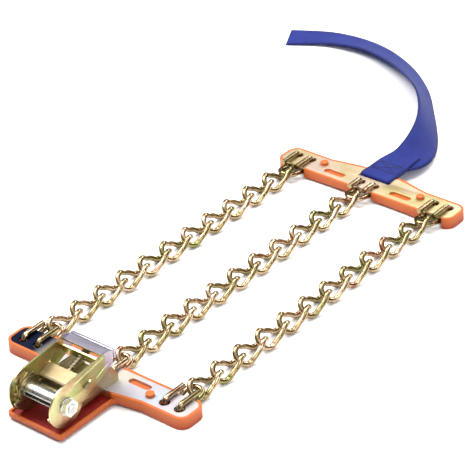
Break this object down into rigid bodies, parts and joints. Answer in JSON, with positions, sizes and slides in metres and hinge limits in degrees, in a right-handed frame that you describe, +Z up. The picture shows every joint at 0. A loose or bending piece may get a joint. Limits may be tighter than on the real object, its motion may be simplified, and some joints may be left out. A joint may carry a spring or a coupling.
{
  "type": "tire snow chains",
  "caption": "Ladder tyre snow chain: two rubber-backed steel plates joined by twisted-link chains, with a ratchet buckle on one plate and a webbing strap on the other.",
  "frame": {"origin": "on the floor, under the middle of the ratchet plate, on the line of its end hook holes", "axes": "+X along the plates, +Y from the ratchet plate to the strap plate, +Z up"},
  "size_m": [0.4467, 0.8503, 0.059],
  "materials": {
    "rubber": "matt moulded rubber",
    "webbing": "woven polyester",
    "chain_wire": "yellow zinc passivate",
    "near_plate_steel": "zinc plate, bluish",
    "far_plate_steel": "yellow zinc passivate",
    "handle_steel": "yellow zinc passivate, greenish",
    "ratchet_steel": "yellow zinc passivate",
    "spool_steel": "bright zinc",
    "spring_steel": "drawn wire",
    "bright_zinc": "bright zinc"
  },
  "bodies": {
    "root": {"near_plate": "near_plate_steel", "near_pad": "rubber", "ratchet_frame": "ratchet_steel", "frame_rivets": "bright_zinc", "lock_spring": "spring_steel"},
    "handle": {"ratchet_handle": "handle_steel", "drive_spring": "spring_steel"},
    "drive_pawl_body": {"drive_pawl": "ratchet_steel"},
    "lock_pawl_body": {"lock_pawl": "ratchet_steel"},
    "spool": {"spool_bar_upper": "spool_steel", "spool_bar_lower": "spool_steel", "ratchet_wheel_left": "ratchet_steel", "ratchet_wheel_right": "ratchet_steel", "spool_washers": "bright_zinc", "spool_nut": "bright_zinc", "spool_head": "bright_zinc"},
    "near_hooks": {"near_hook_left": "chain_wire", "near_hook_middle": "chain_wire", "near_hook_right": "chain_wire"},
    "row_01": {"left_link_01": "chain_wire", "middle_link_01": "chain_wire", "right_link_01": "chain_wire"},
    "row_02": {"left_link_02": "chain_wire", "middle_link_02": "chain_wire", "right_link_02": "chain_wire"},
    "row_03": {"left_link_03": "chain_wire", "middle_link_03": "chain_wire", "right_link_03": "chain_wire"},
    "row_04": {"left_link_04": "chain_wire", "middle_link_04": "chain_wire", "right_link_04": "chain_wire"},
    "row_05": {"left_link_05": "chain_wire", "middle_link_05": "chain_wire", "right_link_05": "chain_wire"},
    "row_06": {"left_link_06": "chain_wire", "middle_link_06": "chain_wire", "right_link_06": "chain_wire"},
    "row_07": {"left_link_07": "chain_wire", "middle_link_07": "chain_wire", "right_link_07": "chain_wire"},
    "row_08": {"left_link_08": "chain_wire", "middle_link_08": "chain_wire", "right_link_08": "chain_wire"},
    "row_09": {"left_link_09": "chain_wire", "middle_link_09": "chain_wire", "right_link_09": "chain_wire"},
    "row_10": {"left_link_10": "chain_wire", "middle_link_10": "chain_wire", "right_link_10": "chain_wire"},
    "row_11": {"left_link_11": "chain_wire", "middle_link_11": "chain_wire", "right_link_11": "chain_wire"},
    "far_hooks": {"far_hook_left": "chain_wire", "far_hook_middle": "chain_wire", "far_hook_right": "chain_wire"},
    "far_end": {"far_plate": "far_plate_steel", "far_pad": "rubber", "strap_loop": "webbing"},
    "strap": {"strap_tail": "webbing"}
  },
  "joints": [
    {"name": "handle_hinge", "type": "hinge", "parent": "root", "child": "handle", "pos_m": [0, -0.0765, 0.03], "axis": [1, 0, 0], "range_deg": [0, 150]},
    {"name": "drive_pawl_slide", "type": "slide", "parent": "handle", "child": "drive_pawl_body", "axis": [0, 0.9563, 0.2924], "range_m": [0, 0.004], "stiffness_N_per_m": 600, "springref_m": -0.004, "deforming": ["drive_spring"]},
    {"name": "lock_pawl_slide", "type": "slide", "parent": "root", "child": "lock_pawl_body", "axis": [0, 0.9744, -0.225], "range_m": [0, 0.004], "stiffness_N_per_m": 600, "springref_m": -0.004, "deforming": ["lock_spring"]},
    {"name": "spool_spin", "type": "hinge", "parent": "root", "child": "spool", "pos_m": [0, -0.0765, 0.03], "axis": [1, 0, 0], "continuous": true},
    {"name": "near_hook_hinge", "type": "hinge", "parent": "root", "child": "near_hooks", "pos_m": [0, 0, 0.012], "axis": [1, 0, 0], "range_deg": [-1.5, 0.5]},
    {"name": "row_hinge_01", "type": "hinge", "parent": "near_hooks", "child": "row_01", "pos_m": [0, 0.033, 0.01048], "axis": [1, 0, 0], "range_deg": [-7, 7]},
    {"name": "row_hinge_02", "type": "hinge", "parent": "row_01", "child": "row_02", "pos_m": [0, 0.06846, 0.01048], "axis": [1, 0, 0], "range_deg": [-18, 18]},
    {"name": "row_hinge_03", "type": "hinge", "parent": "row_02", "child": "row_03", "pos_m": [0, 0.10391, 0.01048], "axis": [1, 0, 0], "range_deg": [-18, 18]},
    {"name": "row_hinge_04", "type": "hinge", "parent": "row_03", "child": "row_04", "pos_m": [0, 0.13936, 0.01048], "axis": [1, 0, 0], "range_deg": [-18, 18]},
    {"name": "row_hinge_05", "type": "hinge", "parent": "row_04", "child": "row_05", "pos_m": [0, 0.17482, 0.01048], "axis": [1, 0, 0], "range_deg": [-18, 18]},
    {"name": "row_hinge_06", "type": "hinge", "parent": "row_05", "child": "row_06", "pos_m": [0, 0.21027, 0.01048], "axis": [1, 0, 0], "range_deg": [-18, 18]},
    {"name": "row_hinge_07", "type": "hinge", "parent": "row_06", "child": "row_07", "pos_m": [0, 0.24573, 0.01048], "axis": [1, 0, 0], "range_deg": [-18, 18]},
    {"name": "row_hinge_08", "type": "hinge", "parent": "row_07", "child": "row_08", "pos_m": [0, 0.28118, 0.01048], "axis": [1, 0, 0], "range_deg": [-18, 18]},
    {"name": "row_hinge_09", "type": "hinge", "parent": "row_08", "child": "row_09", "pos_m": [0, 0.31664, 0.01048], "axis": [1, 0, 0], "range_deg": [-18, 18]},
    {"name": "row_hinge_10", "type": "hinge", "parent": "row_09", "child": "row_10", "pos_m": [0, 0.35209, 0.01048], "axis": [1, 0, 0], "range_deg": [-18, 18]},
    {"name": "row_hinge_11", "type": "hinge", "parent": "row_10", "child": "row_11", "pos_m": [0, 0.38754, 0.01048], "axis": [1, 0, 0], "range_deg": [-18, 18]},
    {"name": "far_hook_hinge", "type": "hinge", "parent": "row_11", "child": "far_hooks", "pos_m": [0, 0.423, 0.01048], "axis": [1, 0, 0], "range_deg": [-7, 7]},
    {"name": "far_plate_hinge", "type": "hinge", "parent": "far_hooks", "child": "far_end", "pos_m": [0, 0.456, 0.012], "axis": [1, 0, 0], "range_deg": [-1.5, 0.5]},
    {"name": "strap_fold", "type": "hinge", "parent": "far_end", "child": "strap", "pos_m": [0, 0.5, 0.0159], "axis": [1, 0, 0], "range_deg": [0, 60]}
  ]
}
